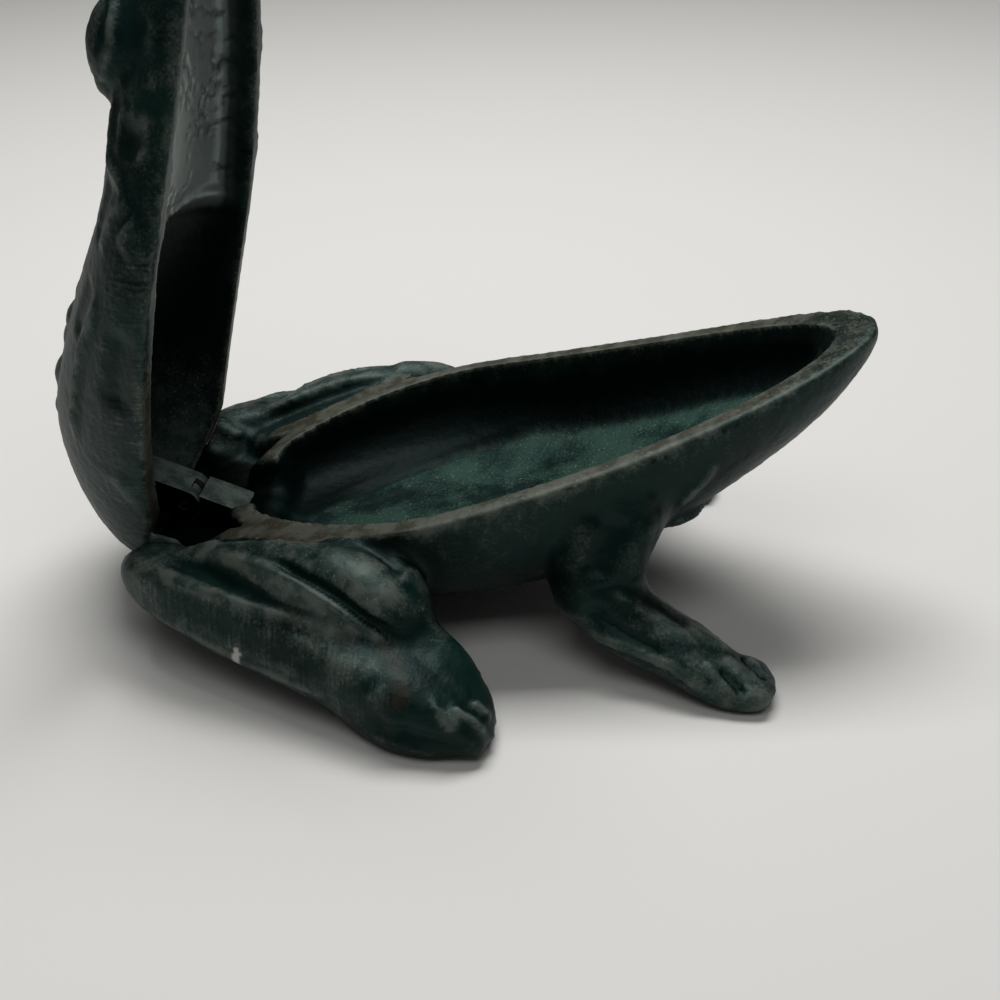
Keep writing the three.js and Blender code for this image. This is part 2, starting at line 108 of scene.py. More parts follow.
def cut_at_hinge(piece, operation, reach, half_width, heights):
    """Cuts a block along the hinge strap off a piece, or keeps only what lies in it, in millimetres."""
    shape = bmesh.new()
    bmesh.ops.create_cube(shape, size=1)
    size = Vector((reach[1] - reach[0], 2 * half_width, heights[1] - heights[0])) * MM
    bmesh.ops.scale(shape, verts=shape.verts, vec=size)
    middle = Vector((sum(reach) / 2, 0, sum(heights) / 2)) * MM
    bmesh.ops.translate(shape, verts=shape.verts, vec=middle)
    bmesh.ops.transform(shape, verts=shape.verts, matrix=STRAP_FRAME)
    block = piece_of(shape, "hinge_block")
    cut = piece.modifiers.new("hinge", "BOOLEAN")
    cut.operation = operation
    cut.solver = "EXACT"
    cut.object = block
    settle(piece)
    bpy.data.objects.remove(block)


def cast_skin(casting, grain):
    """Gives a casting an even skin of small faces, fit to be modelled like wax."""
    skin = casting.modifiers.new("skin", "REMESH")
    skin.mode = "VOXEL"
    skin.voxel_size = grain
    skin.use_smooth_shade = True
    settle(casting)


def in_scene(place):
    """A place in millimetres from the hinge axis and the floor, as the scene counts it."""
    return Vector((place[0] * MM + hinge_x, place[1] * MM, place[2] * MM))


def from_hinge(spot):
    """A spot of the scene, in millimetres from the hinge axis and the floor."""
    return np.array([(spot[0] - hinge_x) / MM, spot[1] / MM, spot[2] / MM])


def read_skin(casting):
    """Points and normals of a casting, in millimetres from the hinge axis and the floor."""
    mesh = casting.data
    points = np.empty(len(mesh.vertices) * 3)
    normals = np.empty(len(mesh.vertices) * 3)
    mesh.vertices.foreach_get("co", points)
    mesh.vertex_normals.foreach_get("vector", normals)
    points = points.reshape(-1, 3) / MM
    points[:, 0] -= hinge_x / MM
    return points, normals.reshape(-1, 3)


def write_skin(casting, points):
    """Puts points in millimetres back on a casting, inside the box of the solids."""
    placed = points.copy()
    placed[:, 0] += hinge_x / MM
    low, high = (np.array(corner) for corner in cad_box)
    placed = np.clip(placed * MM, low, high)
    casting.data.vertices.foreach_set("co", placed.ravel())
    casting.data.update()


def rising(values, low, high):
    """From 0 at one value to 1 at another, and level beyond them."""
    return np.clip((values - low) / (high - low), 0, 1)


def relax(casting, values, passes, share=1.0):
    """Evens out what is kept for the points: each goes its share of half the way to its neighbours' mean."""
    edges = np.empty(len(casting.data.edges) * 2, int)
    casting.data.edges.foreach_get("vertices", edges)
    a, b = edges[0::2], edges[1::2]
    count = np.bincount(edges, minlength=len(values))[:, None]
    flat = values.reshape(len(values), -1)
    share = np.broadcast_to(share, len(values))[:, None]
    for _ in range(passes):
        total = np.zeros_like(flat)
        for axis in range(flat.shape[1]):
            total[:, axis] += np.bincount(a, flat[b, axis], len(flat))
            total[:, axis] += np.bincount(b, flat[a, axis], len(flat))
        flat = flat + 0.5 * share * (total / count - flat)
    return flat.reshape(values.shape)


# The rim, the hollow and the skin beside them: how they are told apart, trued and evened out.
LEVEL = 0.003
TRAY_RIM_UP, TRAY_RIM_Z, TRAY_RIM_X = 0.6, 12, 9
LID_RIM_FORWARD, LID_FORK_HALF, LID_FORK_END = 0.2, 4, 20
HOLLOW_X, HOLLOW_Z, HOLLOW_UP, HOLLOW_INWARD = 10, 7, 0.01, 0.02
HOLLOW_HALF, HOLLOW_MIDDLE, HOLLOW_TAPER = 24, 37, 0.2
ARRIS_ANGLE, ARRIS_STEPS, ARRIS_GRAINS = 0.4, 25, 1.2
TRUE_REACH = 1.2
SKIN_PASSES, SKIN_FROM_RIM = 30, (0.7, 2.7)
EDGE_FROM_WALL, EDGE_FROM_RIM = (1.5, 2.7), (3, 2)


def faces_of(node, wanted=None):
    """The faces of a solid, or those of them that are wanted, to measure from."""
    shape = merged(node)
    if wanted:
        other = [f for f in shape.faces if not wanted(node, f)]
        bmesh.ops.delete(shape, geom=other, context="FACES")
    tree = BVHTree.FromBMesh(shape)
    shape.free()
    return tree


def on_rim(node, face):
    """Whether a face belongs to the flat rim and not to the hinge strap or a foot."""
    if abs(face.normal.y) > LEVEL:
        return False
    x, y, z = from_hinge(face.calc_center_median())
    if node == "tray_body":
        return face.normal.z > TRAY_RIM_UP and z > TRAY_RIM_Z and x > TRAY_RIM_X
    turned = Vector((x, y, z - hinge_z / MM))
    turned.rotate(Matrix.Rotation(lid_swing, 3, "Y"))
    return face.normal.x > LID_RIM_FORWARD and (abs(y) > LID_FORK_HALF or turned.x > LID_FORK_END)


def hollow_half(x):
    """Half the width within which the hollow of the tray lies, so far from the hinge."""
    return HOLLOW_HALF - HOLLOW_TAPER * np.abs(x - HOLLOW_MIDDLE)


def in_hollow(node, face):
    """Whether a face belongs to the wall or the floor of the tray."""
    x, y, z = from_hinge(face.calc_center_median())
    if on_rim(node, face) or x < HOLLOW_X or z < HOLLOW_Z or abs(y) > hollow_half(x):
        return False
    return face.normal.z > HOLLOW_UP and face.normal.y * y < HOLLOW_INWARD


def distance_to(tree, points):
    """Millimetres from each point to a set of faces."""
    return np.array([tree.find_nearest(in_scene(point))[3] for point in points]) / MM


def trued(node, points, rim, grain):
    """Lays the points beside the rim on the faces of the solid, and those at its edges on the edges."""
    shape = merged(node)
    sharp = [e for e in shape.edges if e.calc_face_angle(0) > ARRIS_ANGLE]
    arris = [e for e in sharp if sum(on_rim(node, f) for f in e.link_faces) == 1]
    steps = np.linspace(0, 1, ARRIS_STEPS)
    spots = [e.verts[0].co.lerp(e.verts[1].co, t) for e in arris for t in steps]
    edges = KDTree(len(spots))
    for i, spot in enumerate(spots):
        edges.insert(spot, i)
    edges.balance()
    faces = BVHTree.FromBMesh(shape)
    shape.free()
    for i in np.flatnonzero(rim < TRUE_REACH):
        here = in_scene(points[i])
        spot, _, away = edges.find(here)
        if away > ARRIS_GRAINS * grain:
            spot = faces.find_nearest(here)[0]
        points[i] = from_hinge(spot)
    return points


def fettled(casting, node, grain, rim_faces, hollow_faces, edge_passes):
    """Points of a casting with a true rim, an even skin and a rounded outer edge, and how far each lies
    from the rim and from the hollow."""
    points, _ = read_skin(casting)
    rim = distance_to(rim_faces, points)
    points = trued(node, points, rim, grain)
    points = relax(casting, points, SKIN_PASSES, rising(rim, *SKIN_FROM_RIM))
    to_wall = distance_to(hollow_faces, points)
    outer_edge = rising(to_wall, *EDGE_FROM_WALL) * rising(rim, *EDGE_FROM_RIM)
    return relax(casting, points, edge_passes, outer_edge), rim, to_wall


def near(points, spots, reach):
    """From 1 at any of some spots on either side of the frog to 0 at a distance from them."""
    sided = np.column_stack((points[:, 0], np.abs(points[:, 1]), points[:, 2]))
    away = np.min([np.linalg.norm(sided - np.array(spot), axis=1) for spot in spots], axis=0)
    return np.clip(1 - (away / reach) ** 2, 0, 1)


# Rounded places: the rear ends of the rim, the elbows and the shoulders, each with its reach and passes.
ROUNDED = [
    ((11.0, 4.6, 13.8), 5.2, 60),
    ((65.2, 20.0, 11.8), 7.5, 120),
    ((64.7, 18.3, 23.4), 4.0, 40),
]
SNOUT_TIP, SNOUT_REACH, SNOUT_PASSES, SNOUT_FROM_WALL = (92.0, 0.0, 38.0), 7.0, 30, (2, 4)
TRAY_EDGE_PASSES, LAST_PASSES, LAST_SHARE = 14, 2, 0.6

tray = piece_of(merged("tray_body"), "tray_casting")
cut_at_hinge(tray, "DIFFERENCE", TRAY_SLOT, SLOT_HALF, TRAY_SLOT_HEIGHTS)
cast_skin(tray, TRAY_GRAIN)
tray_rim = faces_of("tray_body", on_rim)
tray_hollow = faces_of("tray_body", in_hollow)
points, rim, to_wall = fettled(tray, "tray_body", TRAY_GRAIN, tray_rim, tray_hollow, TRAY_EDGE_PASSES)
for spot, reach, passes in ROUNDED:
    points = relax(tray, points, passes, near(points, [spot], reach))
tip = near(points, [SNOUT_TIP], SNOUT_REACH) * rising(to_wall, *SNOUT_FROM_WALL)
points = relax(tray, points, SNOUT_PASSES, tip)
write_skin(tray, relax(tray, points, LAST_PASSES, LAST_SHARE))

# Ridges and grooves, in millimetres: a path, its half width, and how far it rises or sinks.
THIGH_RIDGE = [(6.7, 20.9, 14.8), (12.8, 25.5, 16.7), (18.3, 28.7, 17.3), (23.2, 31.2, 16.9),
               (28.0, 33.4, 15.3), (31.8, 34.4, 12.8), (35.4, 34.0, 10.6)]
HIND_LEG = [
    ([(1.1, 24.2, 14.0), (8.6, 28.0, 13.9), (16.2, 31.1, 13.4), (23.9, 33.1, 12.6), (30.3, 35.6, 11.4)],
     1.6, 0.9),
    ([(2.4, 22.3, 14.7), (10.5, 26.0, 14.7), (17.4, 29.8, 14.8), (21.0, 31.2, 14.6)], 1.8, -0.8),
    (THIGH_RIDGE, 1.5, 0.9),
    ([(17.3, 26.8, 18.4), (23.0, 30.2, 17.8), (27.9, 32.7, 16.4), (31.3, 34.1, 14.6), (34.4, 34.0, 12.2),
      (36.4, 33.6, 10.3)], 1.3, -1.3),
    ([(23.6, 27.1, 19.1), (28.5, 29.2, 18.7), (32.7, 32.1, 16.9), (34.9, 33.3, 14.0)], 3.2, 0.7),
    ([(27.3, 23.1, 18.9), (32.3, 26.1, 18.3), (36.1, 29.3, 16.6), (37.7, 29.7, 14.1)], 1.7, -0.8),
    ([(2.5, 26.3, 11.7), (10.0, 30.3, 11.3), (17.0, 33.7, 10.3), (25.0, 37.2, 9.6), (30.2, 39.5, 9.4)],
     2.6, -0.35),
    ([(-0.2, 24.5, 8.6), (8.3, 29.4, 7.7), (15.4, 32.9, 6.5), (25.4, 37.5, 5.7), (29.7, 39.8, 6.3)],
     1.1, 0.4),
    ([(32.4, 39.8, 9.4), (34.5, 41.4, 6.8), (36.2, 41.8, 3.6)], 2.0, 0.4),
    ([(38.2, 33.5, 9.6), (41.4, 36.4, 7.0), (44.4, 37.6, 5.2)], 1.8, 0.7),
    ([(39.1, 40.7, 8.0), (42.0, 41.9, 6.1), (43.3, 42.5, 4.6)], 1.5, 0.6),
    ([(41.4, 40.6, 7.3), (43.7, 41.0, 5.9), (46.6, 40.9, 3.4)], 1.4, 0.7),
    ([(42.6, 39.4, 6.6), (45.0, 39.6, 4.8)], 0.9, -0.5),
    ([(44.0, 38.3, 6.4), (46.5, 38.2, 3.5)], 1.4, 0.6),
    ([(30.0, 40.2, 2.6), (36.4, 42.3, 2.5), (40.7, 42.9, 1.5), (45.0, 43.0, 2.2)], 1.1, 0.4),
    ([(31.0, 40.4, 5.0), (37.8, 42.6, 4.4), (42.5, 42.9, 3.4), (45.4, 42.0, 3.2)], 1.3, -0.5),
]
FRONT_LEG = [
    ([(58.0, 20.0, 21.7), (55.9, 20.8, 19.1), (54.1, 21.5, 16.0), (53.4, 22.2, 13.4)], 2.8, 0.7),
    ([(60.9, 20.0, 22.2), (59.6, 21.3, 19.1), (58.2, 22.7, 16.1), (57.2, 23.6, 13.6)], 2.4, -0.9),
    ([(63.8, 19.5, 21.6), (63.2, 20.7, 17.2), (62.6, 20.7, 12.0)], 2.3, 0.5),
    ([(57.0, 23.6, 12.9), (60.0, 22.6, 13.0), (62.4, 21.0, 12.4)], 1.1, -0.6),
    ([(59.0, 23.5, 12.8), (62.0, 23.4, 11.1), (65.4, 24.2, 9.6), (67.6, 25.1, 8.5), (71.2, 26.4, 6.8)],
     1.9, 0.9),
    ([(55.8, 23.9, 11.5), (59.2, 25.0, 9.3), (62.9, 26.5, 7.9), (67.3, 27.9, 6.5)], 1.9, -1.1),
    ([(54.3, 23.1, 8.7), (58.1, 24.6, 6.8), (62.9, 26.9, 6.4), (67.4, 28.3, 5.4), (70.7, 29.8, 3.6),
      (73.6, 30.7, 2.6)], 1.1, 0.7),
    ([(67.8, 23.0, 7.6), (71.6, 24.0, 6.8), (74.8, 24.6, 5.6)], 1.9, 0.6),
    ([(71.0, 27.4, 6.2), (73.6, 29.4, 4.6), (75.0, 30.6, 3.4)], 1.2, 0.4),
    ([(73.0, 27.6, 5.5), (75.3, 29.5, 4.1), (76.4, 30.8, 3.0)], 1.1, -0.9),
    ([(73.6, 25.6, 5.8), (76.4, 27.6, 4.2), (77.8, 28.8, 3.4)], 1.2, 0.5),
    ([(75.6, 23.7, 4.8), (78.0, 25.8, 3.8), (79.2, 27.8, 3.4)], 1.1, -0.9),
    ([(76.4, 22.4, 4.6), (78.8, 24.2, 3.6)], 1.2, 0.4),
]
FLANK = [
    ([(40.0, 17.4, 9.2), (47.9, 16.5, 9.1), (50.6, 18.4, 11.6)], 1.6, 0.5),
    ([(45.0, 13.0, 5.4), (48.5, 13.4, 5.6)], 1.3, 0.6),
    ([(67.0, 15.0, 19.7), (70.2, 15.3, 23.6), (72.3, 15.4, 27.6)], 1.4, 0.5),
    ([(67.0, 8.0, 16.4), (69.4, 10.5, 18.2)], 4.0, 1.2),
]
WALL_FOOT = [
    ([(18.8, 3.5, 7.9), (24.0, 8.0, 8.4), (30.1, 12.4, 9.5), (36.3, 14.9, 11.0), (42.5, 16.0, 12.8),
      (47.8, 16.2, 14.7)], 2.3, -0.4),
]
HIPS = [
    ([(-2.4, 12.0, 9.0), (-0.4, 14.1, 10.0), (1.4, 16.2, 10.7), (2.8, 17.9, 14.1)], 3.6, 1.7),
]
LEFT_ARM_FROM, LEFT_ARM_TO = (0, 61.5, 75, 81), (0, 61.5, 69, 75)
LEG_FROM_RIM = (0.4, 2.0)
SHARP_TOOL, STROKE_END, STROKE_CROWN = 2.0, 1 / 4.5, 1.6


def along(points, path):
    """How far each point is from a path or a spot, and how far along the path it lies, from 0 to 1."""
    path = np.array(path, float)
    if len(path) == 1:
        return np.linalg.norm(points - path[0], axis=1), None
    legs = np.linalg.norm(np.diff(path, axis=0), axis=1)
    nearest = np.full(len(points), np.inf)
    place = np.zeros(len(points))
    for i, leg in enumerate(legs):
        step = path[i + 1] - path[i]
        t = np.clip((points - path[i]) @ step / leg ** 2, 0, 1)
        reach = np.linalg.norm(points - path[i] - t[:, None] * step, axis=1)
        closer = reach < nearest
        nearest[closer] = reach[closer]
        place[closer] = (legs[:i].sum() + t[closer] * leg) / legs.sum()
    return nearest, place


def stroke(points, path, width, lift):
    """How far a stroke along a path lifts each point; narrow strokes are drawn with a sharp tool."""
    nearest, place = along(points, path)
    off = nearest / width
    across = np.clip(1 - (off if width < SHARP_TOOL else off ** 2), 0, None)
    if len(path) > 1:
        ends = rising(np.minimum(place, 1 - place), 0, STROKE_END)
        across = across * ends ** 2 * (3 - 2 * ends)
    return lift * across ** STROKE_CROWN


def model(casting, strokes, set_on=None, give=1.0):
    """Models strokes on both sides of a casting, as far as it gives, and tells the lift of each point."""
    relief = np.zeros(len(casting.data.vertices))
    for side in (-1, 1):
        for path, width, lift in strokes:
            sided = np.array([(x, side * y, z) for x, y, z in path])
            if set_on:
                sided = set_on(sided)
            points, normals = read_skin(casting)
            rise = stroke(points, sided, width, lift) * give
            write_skin(casting, points + normals * rise[:, None])
            relief += rise
    return relief


def set_back(path):
    """A path on the arm, where it lies on the left side, whose hand stands a little further back."""
    moved = path.copy()
    left = path[:, 1] > 0
    moved[left, 0] = np.interp(path[left, 0], LEFT_ARM_FROM, LEFT_ARM_TO)
    return moved


relief = model(tray, HIND_LEG, None, rising(rim, *LEG_FROM_RIM))
relief = relief + model(tray, FRONT_LEG, set_back) + model(tray, FLANK + WALL_FOOT)
model(tray, HIPS)

# The hips reach the rim of the lid where it leans on them, and the whole skin has the grain of the sand.
HIP_X, HIP_GAP, HIP_FADE = 2.5, 1.9, (5 / 2.6, 4 / 2.6)
COARSE_SAND, FINE_SAND, SAND_HEIGHT = 2.4, 0.9, 0.045
RIM_SMOOTH = (0.3, 1)
BOSS, BOSS_REACH, BOSS_LUMP, BOSS_HEIGHT, BOSS_SEED = (67.5, 0, 16.0), 7, 2.0, 0.35, 5
SEED_STEP = Vector((17.3, 5.1, 9.7))
MOTTLE_DECAY, MOTTLE_STEP, MOTTLE_LAYERS = 0.6, 2.0, 3


def mottle(points, size, seed):
    """Even noise from -1 to 1 with patches of that size in millimetres."""
    offset = seed * SEED_STEP
    return np.array([
        noise.fractal(Vector(p) / size + offset, MOTTLE_DECAY, MOTTLE_STEP, MOTTLE_LAYERS) for p in points])


def sand_grain(points, seed):
    """How far the sand of the mould leaves each point high or low, in millimetres."""
    return SAND_HEIGHT * (mottle(points, COARSE_SAND, seed) + mottle(points, FINE_SAND, seed + 1))


points, normals = read_skin(tray)
rim = distance_to(tray_rim, points)
lid_faces = faces_of("back_lid")
for i in np.flatnonzero(points[:, 0] < HIP_X):
    spot, _, _, gap = lid_faces.find_nearest(in_scene(points[i]))
    if gap < HIP_GAP * MM:
        points[i] += (from_hinge(spot) - points[i]) * rising(gap / MM, *HIP_FADE)
grain = sand_grain(points, 1)
grain = grain + BOSS_HEIGHT * mottle(points, BOSS_LUMP, BOSS_SEED) * near(points, [BOSS], BOSS_REACH)
write_skin(tray, points + normals * (grain * np.clip(rim, *RIM_SMOOTH))[:, None])

# What has happened to the paint of the tray, and where light and shade are painted on it, kept as shares
# from 0 to 1 on the points of its skin.
# The floor of the tray is given by places along it, and half its width there.
FLOOR_X = (16.0, 18.8, 24.0, 30.1, 36.3, 42.5, 47.8, 58.4, 65.2, 72.1, 80.0)
FLOOR_SIDE = (0.0, 3.5, 8.0, 12.4, 14.9, 16.0, 16.2, 12.5, 10.0, 7.5, 4.0)
FLOOR_EDGE = (-1, 1)
HOLLOW_FROM_RIM, HOLLOW_FROM_X, HOLLOW_LOOKS_UP = 1.0, 10.5, 0.1
FOOT_X, FOOT_END, FOOT_Z = (29, 33), 50, (11.5, 9.5)
FLANK_SIDE, FLANK_Z = 21, 10
BEHIND_X, BEHIND_SIDE, BEHIND_FROM_RIM = 11, 13, 0.5
ARM_X, ARM_THERE, ARM_Z, ARM_FROM_RIM = (49, 52, 64, 68), (0, 1, 1, 0), (9, 10), (2.5, 4.5)
SNOUT_X = (74, 84)
SCORED_X, SCORED_SIDE, SCORED_Z, SCORED_OUTWARD = 36, 18, 13, (0, 0.5)
CREST_PASSES, RIDGE_PASSES = 8, 50
PALE_SPOTS = [(41.8, 42.0, 6.4), (44.5, 39.4, 5.6), (26.0, 33.8, 12.9), (74.0, 27.0, 5.6)]
PALE_RIDGE = [(17.4, 29.5, 16.2), (20.6, 31.2, 15.8), (23.8, 32.5, 14.9), (27.0, 33.5, 13.9),
              (29.4, 34.2, 12.9)]
ANKLES = [(35.9, 34.4, 10.4), (37.5, 37.1, 9.8), (38.5, 40.1, 8.9), (36.9, 42.3, 4.7)]
RUST_SPOTS = [(23.1, 32.7, 13.1), (25.6, 33.6, 12.4), (28.9, 35.1, 11.7), (33.6, 35.4, 11.0),
              (34.7, 36.3, 10.6), (35.4, 37.8, 10.2), (35.9, 39.6, 9.8), (36.3, 40.8, 9.0),
              (36.1, 41.7, 8.0)]
SPOT_REACH, THIGH_REACH, PALE_REACH, ANKLE_REACH, RUST_REACH = 1.9, 2.6, 1.9, 4.5, 2.2
CHIP_ENDS, CHIP_HALF = ((14.5, -32.4, 6.0), (14.9, -32.7, 7.6)), 0.6
RIM_WIDTH_X, RIM_WIDTH, RIM_FADE = (14, 24, 78, 84), (3.5, 3.9, 3.8, 6.8), 1.4
FILED_START, FILED_REACH, FILED_X, FILED_SHARE = 1.2, 0.7, (60, 86), (1.0, 0.40)
DRIFT_WIDTH, DRIFT_PATCH, DRIFT_SEED = 2.4, 8.0, 7
BARE, BARE_AND_LIT_TOPS, BARE_SCORED, BARE_SPOTS, BARE_THIGH = 0.16, 0.14, 0.16, 0.6, 0.45
SPARED_SNOUT, SPARED_FLANK, SPARED_FOOT, SPARED_ARM, SPARED_ANKLE = 0.12, 0.10, 0.45, 0.10, 0.45
RELIEF_WEAR, CREST_WEAR, RIDGE_WEAR, FOOT_HIDES, ARM_HIDES = 0.75, 2.2, 0.6, 0.5, 0.75
DRIFT_AT_WALL, DRIFT_UNEVEN = 0.3, 0.55
LIT_DUST_REAR, LIT_DUST_LENGTH, LIT_DUST_RANGE, LIT_DUST_LEAST = 0.32, 140, (0.1, 0.95), 0.25
WALL_SHADE_LENGTH, WALL_SHADE, SHADE_PASSES = 60, (0.78, 0.9), 4
RUST_MARK = 0.85


def edge_wear(casting, points, normals, passes):
    """How far a point stands out from the skin around it, as ridges do, in millimetres."""
    return ((points - relax(casting, points, passes)) * normals).sum(1)


def put(casting, name, values):
    """Keeps one number for each point of a casting, for its finish to read."""
    layer = casting.data.attributes.new(name, "FLOAT", "POINT")
    layer.data.foreach_set("value", np.clip(values, 0, 1).astype(np.float32))


def without(casting, *names):
    """Notes that a casting shows none of some marks of wear, or of painted light and shade."""
    for name in names:
        put(casting, name, np.zeros(len(casting.data.vertices)))


points, normals = read_skin(tray)
crest = edge_wear(tray, points, normals, CREST_PASSES)
ridge = edge_wear(tray, points, normals, RIDGE_PASSES)
to_wall = distance_to(tray_hollow, points)
x, side, z = points[:, 0], np.abs(points[:, 1]), points[:, 2]
sided = np.column_stack((x, side, z))
hollow = (side < hollow_half(x)) & (rim > HOLLOW_FROM_RIM) & (x > HOLLOW_FROM_X) & (z > HOLLOW_Z)
hollow = hollow & (normals[:, 2] > HOLLOW_LOOKS_UP)
inset = np.interp(x, FLOOR_X, FLOOR_SIDE) - side
floor = rising(inset, *FLOOR_EDGE)
foot = rising(x, *FOOT_X) * (x < FOOT_END) * rising(z, *FOOT_Z)
flank = (side < FLANK_SIDE) & (z > FLANK_Z)
# Behind the hollow, at the hinge, is a recess that lies in shadow; shade is painted on it.
behind = (x < BEHIND_X) & (side < BEHIND_SIDE) & (rim > BEHIND_FROM_RIM)
arm = np.interp(x, ARM_X, ARM_THERE) * rising(z, *ARM_Z) * rising(rim, *ARM_FROM_RIM)
scored = rising(normals[:, 1] * np.sign(points[:, 1]), *SCORED_OUTWARD)
scored = scored * (z < SCORED_Z) * (x < SCORED_X) * (side > SCORED_SIDE)

# Bare iron on ridges, rubbed spots and scored sides; the share that grows as a face looks up also paints the
# light that falls from above.
bare_and_lit = BARE + BARE_AND_LIT_TOPS * normals[:, 2] + BARE_SCORED * scored
bare_and_lit = bare_and_lit + BARE_SPOTS * near(points, PALE_SPOTS, SPOT_REACH)
bare_and_lit = bare_and_lit + BARE_THIGH * rising(along(sided, THIGH_RIDGE)[0], THIGH_REACH, 0)
bare_and_lit = bare_and_lit + rising(along(sided, PALE_RIDGE)[0], PALE_REACH, 0)
bare_and_lit = bare_and_lit - SPARED_SNOUT * rising(x, *SNOUT_X) - SPARED_FLANK * flank
bare_and_lit = bare_and_lit - SPARED_FOOT * foot - SPARED_ARM * arm
bare_and_lit = bare_and_lit - SPARED_ANKLE * near(points, ANKLES, ANKLE_REACH)
raised = RELIEF_WEAR * relief * (1 - FOOT_HIDES * foot) + CREST_WEAR * crest + RIDGE_WEAR * ridge
put(tray, "bare_and_lit", np.where(hollow, 0, bare_and_lit + raised * (1 - ARM_HIDES * arm)))
on_band = rising(np.interp(x, RIM_WIDTH_X, RIM_WIDTH) - to_wall, 0, RIM_FADE)
put(tray, "filed", (FILED_START - rim / FILED_REACH) * on_band * np.interp(x, FILED_X, FILED_SHARE))
# The floor of the hollow is paler with dust and with painted light, as it is lit from above while its walls
# are not: more so towards the front, and where dust drifts against the walls.
drift = DRIFT_AT_WALL * np.exp(-(inset / DRIFT_WIDTH) ** 2)
drift[hollow] += DRIFT_UNEVEN * mottle(points[hollow], DRIFT_PATCH, DRIFT_SEED)
lit_floor_dust = floor * np.clip(LIT_DUST_REAR + x / LIT_DUST_LENGTH + drift, *LIT_DUST_RANGE)
put(tray, "dust_and_painted_light", hollow * np.maximum(lit_floor_dust, LIT_DUST_LEAST))
# Painted shade: near black on the walls of the hollow, which lie in shadow, a little deeper towards the
# snout, and on the recess at the hinge.
shaded_walls = hollow * (1 - floor) * np.clip(x / WALL_SHADE_LENGTH, *WALL_SHADE)
put(tray, "painted_shade", relax(tray, np.maximum(behind, shaded_walls), SHADE_PASSES))
put(tray, "rusty", RUST_MARK * near(points, RUST_SPOTS, RUST_REACH))
put(tray, "scored", scored)
put(tray, "chipped", along(points, CHIP_ENDS)[0] < CHIP_HALF)
without(tray, "pool_and_painted_reflection")

# The paint: a thin dark green, gone to grey iron where it is worn and to brown where it was filed.
DEEP_GREEN, LIGHT_GREEN = (0.0003, 0.0055, 0.0046), (0.0014, 0.0150, 0.0120)
WORN_DARK, WORN_PALE = (0.020, 0.034, 0.029), (0.084, 0.098, 0.083)
FILED_BROWN, FILED_GREY = (0.041, 0.038, 0.026), (0.084, 0.085, 0.066)
# The dust colour also paints the light that falls on the floor of the tray, the pale grey is a painted
# reflection on the glossy pool inside the head, and the near-black is painted shade.
LIT_DUST, PAINTED_REFLECTION, SHADE_BLACK = (0.020, 0.052, 0.039), (0.16, 0.18, 0.175), (0.0005, 0.0014, 0.0014)
RUST, FLECK, CHIP = (0.032, 0.022, 0.016), (0.16, 0.165, 0.15), (0.50, 0.49, 0.46)
# Its noises have a size and a detail, its ramps a start and an end, and the rest are shares.
PATCHES, BLOTCHES, PITS, GRIT = (9.0 * MM, 3.0), (2.6 * MM, 4.0), (0.9 * MM, 4.0), (0.38 * MM, 2.0)
FILE_MARKS = (1.0, 2.0)
BLOTCHES_RUB, GRIT_RUBS, FILE_RUBS, DUST_RUBS, RUST_RUBS = 0.42, 0.75, 0.7, 1.3, 1.5
WORN_RAMP, FILED_RAMP, DUST_RAMP, RUST_RAMP = (0.08, 1.0), (0.3, 0.75), (0.25, 1.05), (0.35, 0.8)
GRIT_RAMP, OPEN_RAMP, PATCH_RAMP = (0.62, 0.72), (0.2, 0.9), (0.3, 0.7)
WORN_MIX, FILED_MIX = (0.38, 0.62), (0.40, 0.60)
RUST_COVER, FLECK_COVER = 0.6, 0.6
SHEEN, WORN_SHEEN, POOLED_SHEEN, SHADE_SHEEN = 0.20, 0.25, 0.7, -0.9
SHEEN_TINT = (0.70, 1.0, 0.93)
DULL, PATCH_DULL, WORN_DULL, DUST_DULL, POOLED_DULL = 0.38, 0.16, 0.10, 0.2, -0.16
PIT_DEPTH, PIT_STRENGTH = 0.10 * MM, 0.55
GRIT_HEIGHT, FILE_HEIGHT, POOLED_HEIGHT = 0.7, 0.8, -0.85
TRAY_FILE_STROKES = (0.4, 2.0, 9.0)


